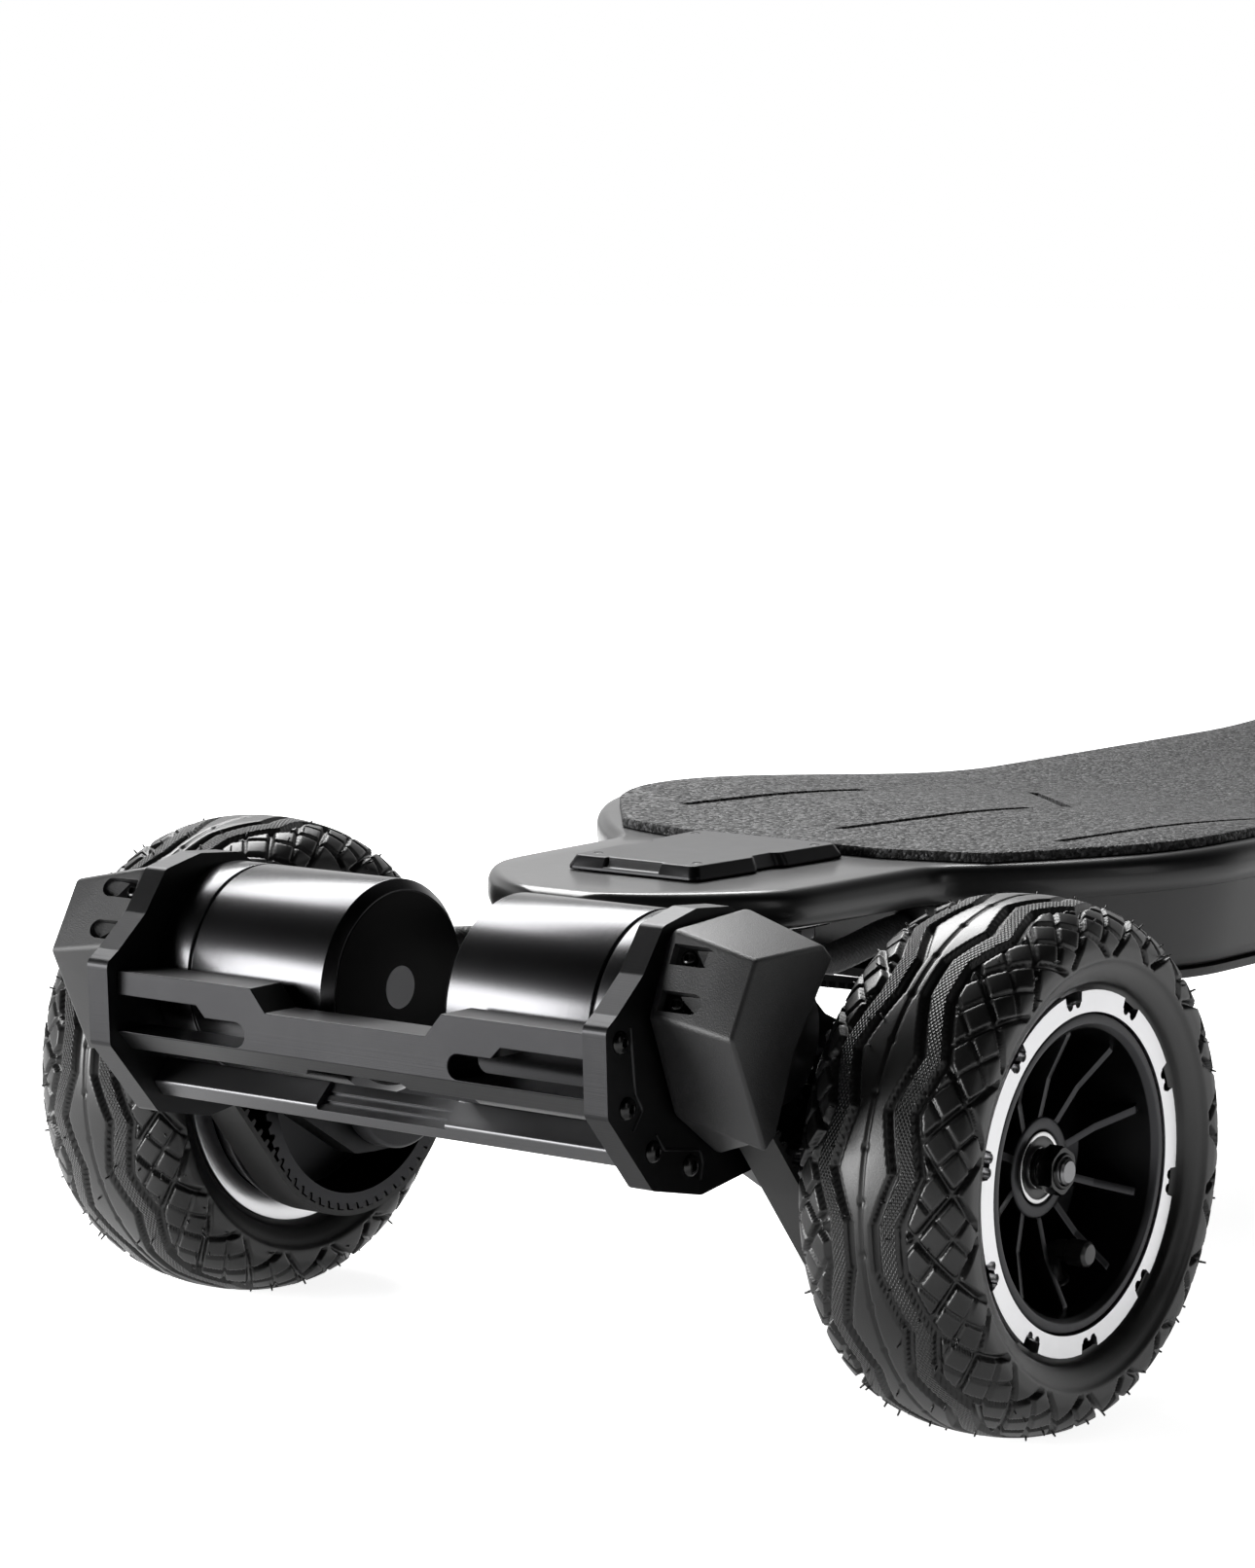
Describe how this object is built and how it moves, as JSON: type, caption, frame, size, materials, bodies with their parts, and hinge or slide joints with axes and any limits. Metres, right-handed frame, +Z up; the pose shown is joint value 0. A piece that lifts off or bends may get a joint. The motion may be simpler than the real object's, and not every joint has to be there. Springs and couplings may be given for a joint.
{
  "type": "electric mountainboard",
  "caption": "Electric skateboard for rough ground: concave deck over a slim battery hull, sprung steering trucks, knobbly air tyres and belt motors guarded behind the rear axle.",
  "frame": {"origin": "on the floor, on the centreline, midway between the board's two ends", "axes": "+X to the right seen from behind, +Y forward along the deck, +Z up"},
  "size_m": [0.365, 1.1701, 0.162],
  "materials": {
    "deck_black": "satin black lacquer over the composite deck and its hull",
    "grip_black": "coarse grit that sparkles on a soft pad",
    "cover_black": "fine-grained moulded plastic",
    "anodised_black": "black anodised, satin",
    "machined_aluminium": "machined bright",
    "forged_black": "black powder coat",
    "bearing_steel": "ground steel",
    "zinc_steel": "zinc plated",
    "tyre_rubber": "moulded rubber with a block tread",
    "belt_rubber": "smooth belt back",
    "bushing_polymer": "firm cast urethane",
    "pack_wrap": "heat-shrink wrap",
    "cable_braid": "braided sleeve"
  },
  "bodies": {
    "board": {"deck": "deck_black", "grip_pad": "grip_black", "battery_cover": "cover_black", "battery_pack": "pack_wrap", "speed_controller": "forged_black", "charge_port": "anodised_black", "rear_top_plate": "anodised_black", "rear_baseplate": "forged_black", "rear_kingpin": "zinc_steel", "rear_bushing_upper": "bushing_polymer", "rear_bushing_lower": "bushing_polymer", "front_top_plate": "anodised_black", "front_baseplate": "forged_black", "front_kingpin": "zinc_steel", "front_bushing_upper": "bushing_polymer", "front_bushing_lower": "bushing_polymer", "motor_cable_left": "cable_braid", "motor_cable_right": "cable_braid"},
    "rear_truck": {"rear_hanger": "forged_black", "rear_axle": "zinc_steel", "guard_bar": "anodised_black", "guard_brace": "anodised_black", "motor_plate_left": "anodised_black", "motor_can_left": "anodised_black", "belt_cover_left": "cover_black", "drive_belt_left": "belt_rubber", "axle_nut_rear_left": "zinc_steel", "motor_plate_right": "anodised_black", "motor_can_right": "anodised_black", "belt_cover_right": "cover_black", "drive_belt_right": "belt_rubber", "axle_nut_rear_right": "zinc_steel"},
    "front_truck": {"front_hanger": "forged_black", "front_axle": "zinc_steel", "axle_nut_front_left": "zinc_steel", "axle_nut_front_right": "zinc_steel"},
    "wheel_rear_left": {"tyre_rear_left": "tyre_rubber", "rim_rear_left": "anodised_black", "rim_ring_rear_left": "machined_aluminium", "bearing_set_rear_left": "bearing_steel", "wheel_pulley_left": "anodised_black"},
    "wheel_rear_right": {"tyre_rear_right": "tyre_rubber", "rim_rear_right": "anodised_black", "rim_ring_rear_right": "machined_aluminium", "bearing_set_rear_right": "bearing_steel", "wheel_pulley_right": "anodised_black"},
    "wheel_front_left": {"tyre_front_left": "tyre_rubber", "rim_front_left": "anodised_black", "rim_ring_front_left": "machined_aluminium", "bearing_set_front_left": "bearing_steel"},
    "wheel_front_right": {"tyre_front_right": "tyre_rubber", "rim_front_right": "anodised_black", "rim_ring_front_right": "machined_aluminium", "bearing_set_front_right": "bearing_steel"},
    "rotor_left": {"motor_rotor_left": "bearing_steel", "motor_pulley_left": "zinc_steel"},
    "rotor_right": {"motor_rotor_right": "bearing_steel", "motor_pulley_right": "zinc_steel"},
    "power_button": {"power_button": "machined_aluminium"},
    "charge_cap": {"charge_port_cap": "bushing_polymer"}
  },
  "joints": [
    {"name": "rear_steer", "type": "hinge", "parent": "board", "child": "rear_truck", "pos_m": [0, -0.4549, 0.08], "axis": [0, 0.766, 0.6428], "range_deg": [-12, 12], "stiffness_Nm_per_rad": 120, "deforming": ["rear_bushing_upper", "rear_bushing_lower", "motor_cable_left", "motor_cable_right"]},
    {"name": "front_steer", "type": "hinge", "parent": "board", "child": "front_truck", "pos_m": [0, 0.5051, 0.08], "axis": [0, -0.766, 0.6428], "range_deg": [-12, 12], "stiffness_Nm_per_rad": 120, "deforming": ["front_bushing_upper", "front_bushing_lower"]},
    {"name": "wheel_rear_left_spin", "type": "hinge", "parent": "rear_truck", "child": "wheel_rear_left", "pos_m": [-0.152, -0.4549, 0.08], "axis": [1, 0, 0], "continuous": true},
    {"name": "wheel_rear_right_spin", "type": "hinge", "parent": "rear_truck", "child": "wheel_rear_right", "pos_m": [0.152, -0.4549, 0.08], "axis": [1, 0, 0], "continuous": true},
    {"name": "wheel_front_left_spin", "type": "hinge", "parent": "front_truck", "child": "wheel_front_left", "pos_m": [-0.152, 0.5051, 0.08], "axis": [1, 0, 0], "continuous": true},
    {"name": "wheel_front_right_spin", "type": "hinge", "parent": "front_truck", "child": "wheel_front_right", "pos_m": [0.152, 0.5051, 0.08], "axis": [1, 0, 0], "continuous": true},
    {"name": "rotor_left_spin", "type": "hinge", "parent": "rear_truck", "child": "rotor_left", "pos_m": [-0.06, -0.5305, 0.12524], "axis": [1, 0, 0], "continuous": true},
    {"name": "rotor_right_spin", "type": "hinge", "parent": "rear_truck", "child": "rotor_right", "pos_m": [0.06, -0.5305, 0.12524], "axis": [1, 0, 0], "continuous": true},
    {"name": "power_button_press", "type": "slide", "parent": "board", "child": "power_button", "axis": [1, 0, 0], "range_m": [0, 0.0015], "stiffness_N_per_m": 800},
    {"name": "charge_cap_hinge", "type": "hinge", "parent": "board", "child": "charge_cap", "pos_m": [-0.1101, 0.2251, 0.12988], "axis": [0, 1, 0], "range_deg": [0, 90]}
  ],
  "couplings": [
    {"joint": "rotor_left_spin", "follows": "wheel_rear_left_spin", "ratio": 2.7273},
    {"joint": "rotor_right_spin", "follows": "wheel_rear_right_spin", "ratio": 2.7273}
  ]
}
